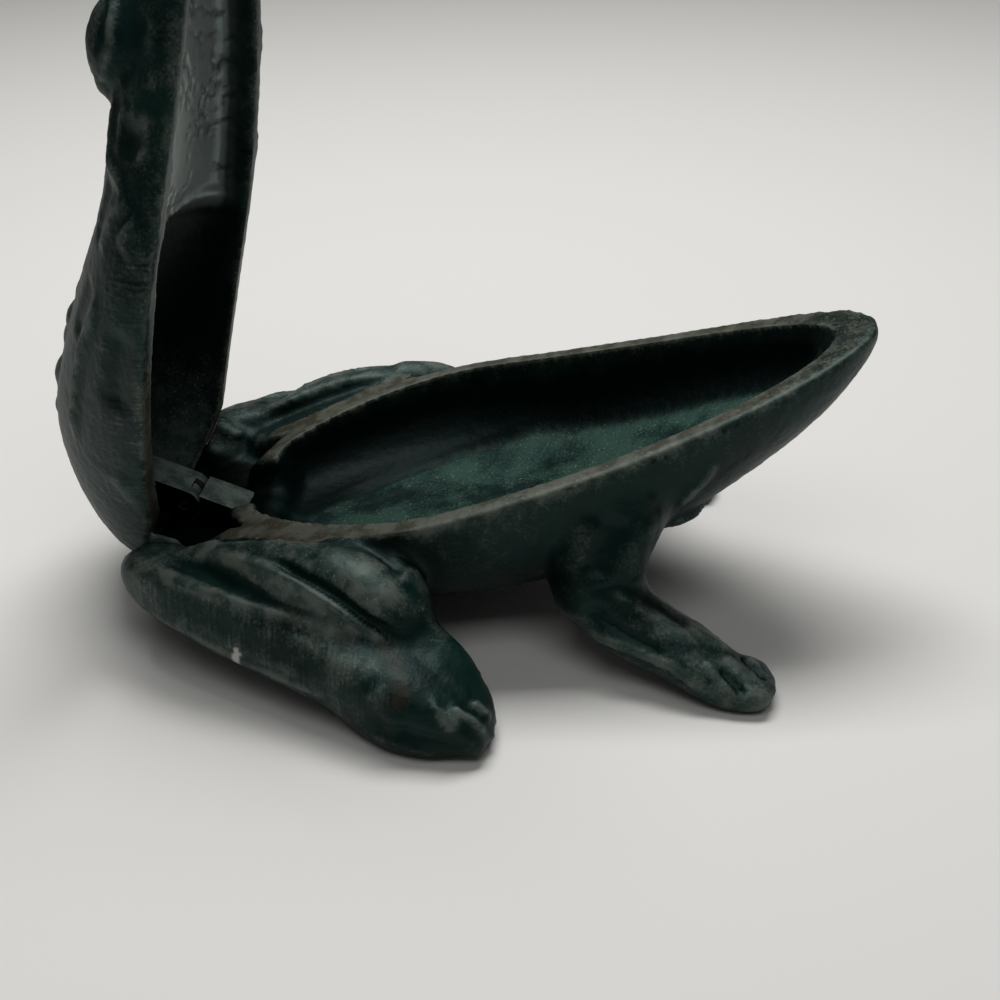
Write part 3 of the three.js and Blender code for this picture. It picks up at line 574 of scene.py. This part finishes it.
def painted_iron(name, file_strokes):
    """Dark green paint on rough iron, worn, filed, dusty or pooled where the points of a casting say so,
    with painted light, painted shade and a painted reflection where they say so too.
    """
    finish = bpy.data.materials.new(name)
    finish.use_nodes = True
    tree = finish.node_tree
    shader = tree.nodes["Principled BSDF"]
    place = tree.nodes.new("ShaderNodeTexCoord").outputs["Object"]

    def feed(value, socket):
        if isinstance(value, tuple):
            socket.default_value = (*value, 1)
        elif isinstance(value, (int, float)):
            socket.default_value = value
        else:
            tree.links.new(value, socket)

    def speckle(size, detail, where=place):
        grain = tree.nodes.new("ShaderNodeTexNoise")
        grain.inputs["Scale"].default_value = 1 / size
        grain.inputs["Detail"].default_value = detail
        tree.links.new(where, grain.inputs["Vector"])
        return grain.outputs["Fac"]

    def mark(attribute):
        reader = tree.nodes.new("ShaderNodeAttribute")
        reader.attribute_name = attribute
        return reader.outputs["Fac"]

    def calculated(operation, *values):
        node = tree.nodes.new("ShaderNodeMath")
        node.operation = operation
        for value, socket in zip(values, node.inputs):
            feed(value, socket)
        return node.outputs[0]

    def plus(start, value, times_over=1.0):
        return calculated("MULTIPLY_ADD", value, times_over, start)

    def times(value, other):
        return calculated("MULTIPLY", value, other)

    def centred(value):
        return plus(-0.5, value)

    def ramp(value, low, high):
        node = tree.nodes.new("ShaderNodeMapRange")
        node.interpolation_type = "SMOOTHSTEP"
        feed(value, node.inputs["Value"])
        node.inputs["From Min"].default_value = low
        node.inputs["From Max"].default_value = high
        return node.outputs["Result"]

    def blend(share, under, over):
        node = tree.nodes.new("ShaderNodeMix")
        node.data_type = "RGBA"
        feed(share, node.inputs["Factor"])
        feed(under, node.inputs["A"])
        feed(over, node.inputs["B"])
        return node.outputs["Result"]

    patches, blotches, pits, grit = (speckle(*kind) for kind in (PATCHES, BLOTCHES, PITS, GRIT))
    drawn = tree.nodes.new("ShaderNodeVectorMath")
    drawn.operation = "MULTIPLY"
    drawn.inputs[1].default_value = [1 / (length * MM) for length in file_strokes]
    tree.links.new(place, drawn.inputs[0])
    scratches = speckle(*FILE_MARKS, drawn.outputs[0])
    bare_and_lit, filed, dust_and_painted_light, pool_and_painted_reflection = mark("bare_and_lit"), mark("filed"), mark("dust_and_painted_light"), mark("pool_and_painted_reflection")
    painted_shade, rusty, scored, chipped = mark("painted_shade"), mark("rusty"), mark("scored"), mark("chipped")

    rubbed = times(centred(blotches), BLOTCHES_RUB)
    rubbed = plus(rubbed, centred(grit), GRIT_RUBS)
    rubbed = plus(rubbed, times(centred(scratches), scored), FILE_RUBS)
    # Worn iron shows where paint is bare, and where light is painted on the faces that look up.
    worn_and_lit = ramp(plus(bare_and_lit, rubbed), *WORN_RAMP)
    filing = ramp(plus(filed, rubbed), *FILED_RAMP)
    dust_and_light = ramp(plus(dust_and_painted_light, rubbed, DUST_RUBS), *DUST_RAMP)
    rust = ramp(plus(rusty, rubbed, RUST_RUBS), *RUST_RAMP)
    flecks = times(ramp(grit, *GRIT_RAMP), ramp(plus(bare_and_lit, plus(filed, dust_and_painted_light)), *OPEN_RAMP))
    worn_iron = blend(ramp(blotches, *WORN_MIX), WORN_DARK, WORN_PALE)
    filed_iron = blend(ramp(blotches, *FILED_MIX), FILED_BROWN, FILED_GREY)

    colour = blend(ramp(patches, *PATCH_RAMP), DEEP_GREEN, LIGHT_GREEN)
    # Dust also stands in for light falling on the tray floor; the near-black layer is painted shade, and the
    # pale layer of the pool a painted reflection.
    for share, over in (
            (dust_and_light, LIT_DUST), (worn_and_lit, worn_iron), (filing, filed_iron), (times(rust, RUST_COVER), RUST),
            (times(flecks, FLECK_COVER), FLECK), (chipped, CHIP), (painted_shade, SHADE_BLACK), (pool_and_painted_reflection, PAINTED_REFLECTION)):
        colour = blend(share, colour, over)
    tree.links.new(colour, shader.inputs["Base Color"])

    gloss = plus(plus(SHEEN, worn_and_lit, WORN_SHEEN), pool_and_painted_reflection, POOLED_SHEEN)
    # Where shade is painted, the gloss is taken away too.
    gloss = times(gloss, plus(1.0, painted_shade, SHADE_SHEEN))
    tree.links.new(gloss, shader.inputs["Specular IOR Level"])
    shader.inputs["Specular Tint"].default_value = (*SHEEN_TINT, 1)
    dull = plus(plus(DULL, patches, PATCH_DULL), worn_and_lit, WORN_DULL)
    dull = plus(plus(dull, dust_and_light, DUST_DULL), pool_and_painted_reflection, POOLED_DULL)
    tree.links.new(dull, shader.inputs["Roughness"])

    skin = tree.nodes.new("ShaderNodeBump")
    skin.inputs["Strength"].default_value = PIT_STRENGTH
    skin.inputs["Distance"].default_value = PIT_DEPTH
    height = plus(plus(pits, grit, GRIT_HEIGHT), times(scratches, scored), FILE_HEIGHT)
    height = times(height, plus(1.0, pool_and_painted_reflection, POOLED_HEIGHT))
    tree.links.new(height, skin.inputs["Height"])
    tree.links.new(skin.outputs["Normal"], shader.inputs["Normal"])
    return finish


tray.data.materials.clear()
tray.data.materials.append(painted_iron("tray_paint", TRAY_FILE_STROKES))
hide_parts("tray_body")
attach(tray, "tray")

# The back of the frog: a hollow casting of the same iron, whose rump swings on the hinge.
# Its rim was filed to sit on the body, and paint has pooled and dried glossy inside the head, where a pale
# grey is painted on as its reflection.
LID_GRAIN = 0.41 * MM
LID_SLOT, LID_SLOT_HEIGHTS = (-9.5, 3.0), (-2.6, 2.6)
LID_EDGE_PASSES, LID_LAST_PASSES, LID_LAST_SHARE = 16, 4, 0.8
LOOKS_IN, LOOKS_OUT = 0.1, -0.1


def in_lid(node, face):
    """Whether a face belongs to the hollow of the lid."""
    return face.normal.x > LOOKS_IN and not on_rim(node, face)


def on_back(node, face):
    """Whether a face belongs to the outside of the lid."""
    return face.normal.x < LOOKS_OUT


lid = piece_of(merged("back_lid"), "lid_casting")
cut_at_hinge(lid, "DIFFERENCE", LID_SLOT, SLOT_HALF, LID_SLOT_HEIGHTS)
cast_skin(lid, LID_GRAIN)
lid_rim = faces_of("back_lid", on_rim)
lid_hollow = faces_of("back_lid", in_lid)
points, rim, _ = fettled(lid, "back_lid", LID_GRAIN, lid_rim, lid_hollow, LID_EDGE_PASSES)
write_skin(lid, relax(lid, points, LID_LAST_PASSES, LID_LAST_SHARE))

# Ridges and grooves of the head and the sides as on the body, at their places on the closed lid.
HEAD = [
    ([(64.5, 12.4, 40.0), (62.4, 14.6, 38.3), (59.5, 15.6, 37.2), (56.0, 14.9, 37.0), (54.0, 12.8, 38.0)],
     1.2, 0.6),
    ([(64.0, 11.2, 40.9), (62.2, 13.6, 39.6), (59.5, 14.6, 38.6), (56.6, 13.8, 38.6)], 0.9, -0.45),
    ([(65.5, 16.0, 35.6), (60.5, 17.6, 34.4), (55.5, 16.6, 34.6)], 1.8, -0.5),
    ([(52.4, 19.7, 31.3)], 2.9, -0.8),
    ([(56.2, 19.6, 31.4), (55.6, 20.6, 30.0), (54.1, 21.0, 29.2), (52.4, 21.4, 29.0), (50.6, 21.1, 29.8)],
     1.4, 0.45),
    ([(55.6, 18.2, 33.0), (53.1, 17.7, 33.6), (50.9, 18.7, 32.4)], 1.2, 0.4),
    ([(56.0, 15.1, 35.9), (52.3, 15.3, 34.5), (47.8, 16.8, 33.0), (47.5, 20.1, 30.6), (45.8, 22.0, 28.5)],
     1.7, 0.6),
    ([(53.3, 13.2, 37.4)], 2.0, 0.6),
    ([(70.0, 15.0, 33.8), (63.1, 18.0, 32.9), (59.8, 19.5, 30.8), (55.8, 20.9, 29.2)], 1.6, 0.25),
]
SIDE = [
    ([(47.6, 21.9, 28.6), (44.3, 21.3, 29.6), (41.0, 20.4, 30.2), (37.6, 19.5, 30.6)], 1.9, 0.7),
    ([(47.0, 18.4, 32.2), (42.0, 17.6, 32.8), (37.0, 17.2, 32.4)], 2.2, -0.6),
    ([(44.1, 21.8, 28.6), (43.0, 23.2, 26.5), (42.1, 24.0, 24.7), (40.8, 24.3, 23.2)], 2.6, 0.6),
    ([(35.6, 21.0, 28.7), (30.2, 20.6, 28.1), (23.3, 18.6, 28.2), (17.1, 17.3, 27.3), (9.1, 15.5, 25.4)],
     1.9, 0.8),
    ([(33.6, 23.8, 23.6), (29.4, 24.0, 22.2), (24.6, 23.0, 21.4), (20.0, 21.8, 20.6)], 4.2, -0.9),
    ([(34.5, 19.0, 30.2), (30.0, 18.0, 30.6), (24.0, 16.4, 30.9)], 2.2, -0.6),
    ([(11.1, 19.2, 20.1), (9.6, 19.3, 16.9), (7.1, 18.3, 14.6)], 2.2, 0.4),
]
LID_FROM_RIM = (0.9, 3.9)


def opened(points, angle=-lid_swing):
    """Points of the lid as it lies on the body, turned up with it about the hinge."""
    turned = points.copy()
    x, z = points[:, 0], points[:, 2] - hinge_z / MM
    turned[:, 0] = x * math.cos(angle) + z * math.sin(angle)
    turned[:, 2] = z * math.cos(angle) - x * math.sin(angle) + hinge_z / MM
    return turned


relief = model(lid, HEAD + SIDE, opened, rising(rim, *LID_FROM_RIM))

# Low warts on the back, placed round by round as seeds lie on a cone, each where the back is high.
WARTS, WART_TURN, WART_FIELD = 15, 2.4, 10.5
WART_X, WART_STRETCH, WART_CLIMB = 18.0, 1.25, 0.1
WART_HALF, WART_GROWTH, WART_SIZES, WART_HEIGHT = 2.0, 0.4, 3, 0.6
for i in range(WARTS):
    points, normals = read_skin(lid)
    shut = opened(points, lid_swing)
    away, turn = WART_FIELD * math.sqrt((i + 0.5) / WARTS), WART_TURN * i
    spot = np.array([WART_X + WART_STRETCH * away * math.cos(turn), away * math.sin(turn)])
    beside = np.linalg.norm(shut[:, :2] - spot, axis=1) - WART_CLIMB * shut[:, 2]
    centre = points[np.argmin(beside)]
    rise = stroke(points, [centre], WART_HALF + WART_GROWTH * (i % WART_SIZES), WART_HEIGHT)
    write_skin(lid, points + normals * rise[:, None])
    relief += rise

# Inside the head the paint lies thick: wrinkled as it dried, with a curled edge and a glossy pad whose pale
# colour is a painted reflection.
INSIDE_DEPTH, INSIDE_FORWARD, INSIDE_FROM_RIM, INSIDE_PASSES = 1.6, 0.2, 0.6, 6
HEAD_X, HEAD_FROM_RIM = (32.5, 34.0), (1.2, 2.7)
PAD_DOWNWARD, PAD_PASSES, PAD_SMOOTH = (3.6 / 7, 4.6 / 7), 2, 0.8
WRINKLE_STRETCH, WRINKLE_SIZE, WRINKLE_WIDTH, WRINKLE_DEPTH = np.array([1, 0.6, 1.5]), 4.2, 1 / 4.5, 0.22
WRINKLED_SIZE, WRINKLED = 8.0, (-0.8 / 3, 0.2 / 3)
CURL_X, CURL_HALF, CURL_HEIGHT, GROOVE_X, GROOVE_HALF, GROOVE_SHARE = 34.4, 0.8, 0.5, 32.6, 0.9, 0.8
LID_SAND_SEED, WRINKLE_SEED, WRINKLED_SEED = 3, 6, 8

points, normals = read_skin(lid)
rim = distance_to(lid_rim, points)
shut = opened(points, lid_swing)
from_rump = shut[:, 0]
downward = normals[:, 0] * math.sin(lid_swing) - normals[:, 2] * math.cos(lid_swing)
inside = distance_to(faces_of("back_lid", on_back), points) > INSIDE_DEPTH
inside = inside & (normals[:, 0] > INSIDE_FORWARD) & (rim > INSIDE_FROM_RIM)
inside = relax(lid, inside * 1.0, INSIDE_PASSES)
clear_of_rim = rising(rim, *HEAD_FROM_RIM)
head = inside * rising(from_rump, *HEAD_X) * clear_of_rim
pad = relax(lid, head * rising(downward, *PAD_DOWNWARD), PAD_PASSES)
wrinkles = rising(np.abs(mottle(points * WRINKLE_STRETCH, WRINKLE_SIZE, WRINKLE_SEED)), WRINKLE_WIDTH, 0)
wrinkles = wrinkles * rising(mottle(points, WRINKLED_SIZE, WRINKLED_SEED), *WRINKLED)
curl = np.exp(-((from_rump - CURL_X) / CURL_HALF) ** 2)
curl = curl - GROOVE_SHARE * np.exp(-((from_rump - GROOVE_X) / GROOVE_HALF) ** 2)
grain = sand_grain(points, LID_SAND_SEED) * (1 - PAD_SMOOTH * pad) - WRINKLE_DEPTH * wrinkles * head
grain = grain + CURL_HEIGHT * curl * inside * clear_of_rim
write_skin(lid, points + normals * (grain * np.clip(rim, *RIM_SMOOTH))[:, None])

# What has happened to the paint of the lid, as on the tray, and where shade and a reflection are painted on
# it.
LOW_X, LOW_BARE, LOW_DUST = (1.2 / 0.07, 0.2 / 0.07), 0.5, 0.8
LID_BARE, LID_RELIEF_WEAR, LID_CREST_WEAR, LID_RIDGE_WEAR = 0.12, 0.50, 1.8, 0.5
LID_FILED_FADE, LID_FILED_X, LID_FILED_SHARE = 1.3, 32, (0.25, 1)
HEAD_POOL_AND_REFLECTION, WRINKLE_DULLS = 0.16, 0.7
INSIDE_SHADE, HEAD_LESS_SHADE, WRINKLE_SHADE = 0.8, 0.5, 0.5
UNDER_Z, UNDER_HALF = 10.8, 7
LID_SCORED_FROM_RIM, LID_SCORED_X = 6, 42
LID_FILE_STROKES = (9.0, 4.0, 0.4)
points, normals = read_skin(lid)
crest = edge_wear(lid, points, normals, CREST_PASSES)
ridge = edge_wear(lid, points, normals, RIDGE_PASSES)
low_inside = inside * rising(from_rump, *LOW_X)
outside = LID_BARE + LID_RELIEF_WEAR * relief + LID_CREST_WEAR * crest + LID_RIDGE_WEAR * ridge
put(lid, "bare_and_lit", np.where(inside > 0.5, LOW_BARE * low_inside, outside))
filed_up = np.clip(LID_FILED_FADE - from_rump / LID_FILED_X, *LID_FILED_SHARE)
put(lid, "filed", (FILED_START - rim / FILED_REACH) * filed_up)
put(lid, "dust_and_painted_light", LOW_DUST * low_inside)
# The pooled paint is glossy, and a pale grey reflection is painted on the pad and, more faintly, over the
# inside of the head.
put(lid, "pool_and_painted_reflection", np.maximum(pad, HEAD_POOL_AND_REFLECTION * head) * (1 - WRINKLE_DULLS * wrinkles))
# Painted shade: over the inside of the lid, which lies in shadow, less of it in the head; on the low faces
# that look forward by the hinge; and in the creases of the wrinkled pad.
under = (points[:, 2] < UNDER_Z) & (np.abs(points[:, 1]) < UNDER_HALF) & (normals[:, 0] > 0)
shaded = INSIDE_SHADE * inside * (1 - low_inside) * (1 - pad) * (1 - HEAD_LESS_SHADE * head)
put(lid, "painted_shade", shaded + under + WRINKLE_SHADE * pad * wrinkles)
put(lid, "scored", (rim < LID_SCORED_FROM_RIM) * (1 - inside) * (from_rump < LID_SCORED_X))
without(lid, "rusty", "chipped")
lid.data.materials.clear()
lid.data.materials.append(painted_iron("lid_paint", LID_FILE_STROKES))
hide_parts("back_lid")
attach(lid, "lid")

# The hinge straps: a flat bar on each casting that meet end to end over the pin.
# They were filed flat and square, and then painted with the rest.
STRAPS = (
    ("tray_body", "tray_strap", "tray", (-1.9, 6.7)),
    ("back_lid", "lid_strap", "lid", (-11.4, 2.6)),
)
STRAP_HALF, STRAP_HEIGHTS = 2.98, (-2.7, 2.3)
STRAP_END, STRAP_RUN = 6.5 * MM, 3.6 * MM
STRAP_EDGE, STRAP_EDGE_STEPS, STRAP_EDGE_ANGLE = 0.14 * MM, 2, math.radians(40)
STRAP_WEAR, STRAP_SIDE, STRAP_SHADE, STRAP_SHADE_OFFSET = 0.75, 2.2, 1.6, 0.5


def corners_of(grown):
    """The vertices among what an extrusion has made."""
    return [part for part in grown["geom"] if isinstance(part, bmesh.types.BMVert)]


for node, name, body, reach in STRAPS:
    strap = piece_of(merged(node), name)
    cut_at_hinge(strap, "INTERSECT", reach, STRAP_HALF, STRAP_HEIGHTS)
    if body == "tray":
        shape = bmesh.new()
        shape.from_mesh(strap.data)
        to_strap = STRAP_FRAME.inverted()
        end = [f for f in shape.faces if (to_strap @ f.calc_center_median()).x > STRAP_END]
        grown = bmesh.ops.extrude_face_region(shape, geom=end)
        bmesh.ops.delete(shape, geom=end, context="FACES")
        run = STRAP_FRAME.to_3x3() @ Vector((STRAP_RUN, 0, 0))
        bmesh.ops.translate(shape, verts=corners_of(grown), vec=run)
        shape.to_mesh(strap.data)
        shape.free()
    edge = strap.modifiers.new("filed_edges", "BEVEL")
    edge.width = STRAP_EDGE
    edge.segments = STRAP_EDGE_STEPS
    edge.limit_method = "ANGLE"
    edge.angle_limit = STRAP_EDGE_ANGLE
    settle(strap)
    points, normals = read_skin(strap)
    # Painted shade on the sides and the underside of each strap, which lie in shadow.
    beside = np.abs(normals[:, 1]) * (np.abs(points[:, 1]) > STRAP_SIDE)
    without(strap, "filed", "dust_and_painted_light", "pool_and_painted_reflection", "rusty", "scored", "chipped")
    put(strap, "bare_and_lit", np.full(len(points), STRAP_WEAR))
    put(strap, "painted_shade", STRAP_SHADE * np.maximum(beside, -normals[:, 2]) - STRAP_SHADE_OFFSET)
    strap.data.materials.clear()
    strap.data.materials.append(tray.data.materials[0])
    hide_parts(node)
    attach(strap, body)

# The hinge pin: a length of drawn wire through the strap and the tongue, with its cut ends dressed.
# It is plain steel, gone dull, and lies loose in its bore.
PIN_SIDES, PIN_BEVEL, PIN_BEVEL_STEPS, PIN_END_ANGLE = 24, 0.2 * MM, 2, 1.0
PIN_ROUGHNESS, PIN_STAIN_SIZE = 0.45, MM / 0.9
STAINED_STEEL, CLEAN_STEEL = (0.030, 0.024, 0.018, 1), (0.12, 0.11, 0.10, 1)
pin_low, pin_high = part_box("hinge_pin")
radius = (pin_high.z - pin_low.z) / 2
shape = bmesh.new()
bmesh.ops.create_cone(
    shape, cap_ends=True, segments=PIN_SIDES, radius1=radius, radius2=radius, depth=pin_high.y - pin_low.y)
bmesh.ops.bevel(
    shape, geom=[e for e in shape.edges if e.calc_face_angle() > PIN_END_ANGLE], offset=PIN_BEVEL,
    affect="EDGES", segments=PIN_BEVEL_STEPS, profile=0.5, material=-1)
bmesh.ops.rotate(shape, verts=shape.verts, matrix=Matrix.Rotation(math.pi / 2, 3, "X"))
bmesh.ops.translate(shape, verts=shape.verts, vec=(pin_low + pin_high) / 2)
wire = piece_of(shape, "hinge_wire")
dull_steel = bpy.data.materials.new("dull_wire")
dull_steel.use_nodes = True
nodes, links = dull_steel.node_tree.nodes, dull_steel.node_tree.links
steel = nodes["Principled BSDF"]
steel.inputs["Metallic"].default_value = 1.0
steel.inputs["Roughness"].default_value = PIN_ROUGHNESS
stain = nodes.new("ShaderNodeTexNoise")
stain.inputs["Scale"].default_value = 1 / PIN_STAIN_SIZE
tint = nodes.new("ShaderNodeValToRGB")
tint.color_ramp.elements[0].color = STAINED_STEEL
tint.color_ramp.elements[1].color = CLEAN_STEEL
links.new(nodes.new("ShaderNodeTexCoord").outputs["Object"], stain.inputs["Vector"])
links.new(stain.outputs["Fac"], tint.inputs["Fac"])
links.new(tint.outputs["Color"], steel.inputs["Base Color"])
wire.data.materials.append(dull_steel)
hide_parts("hinge_pin")
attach(wire, "tray")

# The stage: a pale sheet that lies flat under the frog and sweeps up behind it.
# It is matt card, lit from above, and is no part of the object.
SHEET_HALF, SHEET_RISE = 1.2, (0, 0.25, 1.6)
CARD_WHITE, CARD_ROUGHNESS = (0.78, 0.77, 0.74, 1), 0.8
shape = bmesh.new()
bmesh.ops.create_grid(shape, x_segments=1, y_segments=1, size=SHEET_HALF)
back_edge = [e for e in shape.edges if all(v.co.y > 0 for v in e.verts)]
grown = bmesh.ops.extrude_edge_only(shape, edges=back_edge)
bmesh.ops.translate(shape, verts=corners_of(grown), vec=SHEET_RISE)
sheet = piece_of(shape, "sheet")
card = bpy.data.materials.new("pale_card")
card.use_nodes = True
card_face = card.node_tree.nodes["Principled BSDF"]
card_face.inputs["Base Color"].default_value = CARD_WHITE
card_face.inputs["Roughness"].default_value = CARD_ROUGHNESS
sheet.data.materials.append(card)

# The light: a soft strip overhead behind the frog and a weaker one in front of it.
# A dim pale surround fills the shadows.
STRIPS = (("rear_strip", (-0.03, 0.17, 0.52), 2.6), ("front_strip", (0.05, -0.26, 0.50), 0.50))
STRIP_LENGTH, STRIP_WIDTH, STRIP_AIM = 0.40, 0.22, Vector((0, 0.03, 0))
SURROUND_STRENGTH = 0.06
for name, place, power in STRIPS:
    lamp = bpy.data.lights.new(name, "AREA")
    lamp.shape = "RECTANGLE"
    lamp.size, lamp.size_y = STRIP_LENGTH, STRIP_WIDTH
    lamp.energy = power
    strip = bpy.data.objects.new(name, lamp)
    strip.location = place
    strip.rotation_euler = (STRIP_AIM - strip.location).to_track_quat("-Z", "Y").to_euler()
    bpy.context.scene.collection.objects.link(strip)
world = bpy.context.scene.world or bpy.data.worlds.new("surround")
bpy.context.scene.world = world
world.use_nodes = True
surround = world.node_tree.nodes["Background"]
surround.inputs["Color"].default_value = (1, 1, 1, 1)
surround.inputs["Strength"].default_value = SURROUND_STRENGTH

# The camera stands to the right of the frog, above it, and looks down over the near legs.
# It is near enough for the raised lid to leave the picture at the top.
LENS, SENSOR, NEAREST, FURTHEST = 54.0, 36.0, 0.01, 20
CAMERA_PLACE = Vector((25.03, -178.9, 111.8)) * MM
CAMERA_FORWARD, CAMERA_ACROSS = Vector((-0.096, 0.869, -0.485)), Vector((0.995, 0.102, -0.016))
forward = CAMERA_FORWARD.normalized()
upward = CAMERA_ACROSS.cross(forward).normalized()
across = forward.cross(upward)
eye = bpy.data.cameras.new("eye")
eye.lens, eye.sensor_width = LENS, SENSOR
eye.clip_start, eye.clip_end = NEAREST, FURTHEST
viewpoint = bpy.data.objects.new("viewpoint", eye)
turned = Matrix((across, upward, -forward)).transposed().to_4x4()
viewpoint.matrix_world = Matrix.Translation(CAMERA_PLACE) @ turned
bpy.context.scene.collection.objects.link(viewpoint)
bpy.context.scene.camera = viewpoint
bpy.context.scene.view_settings.view_transform = "Standard"
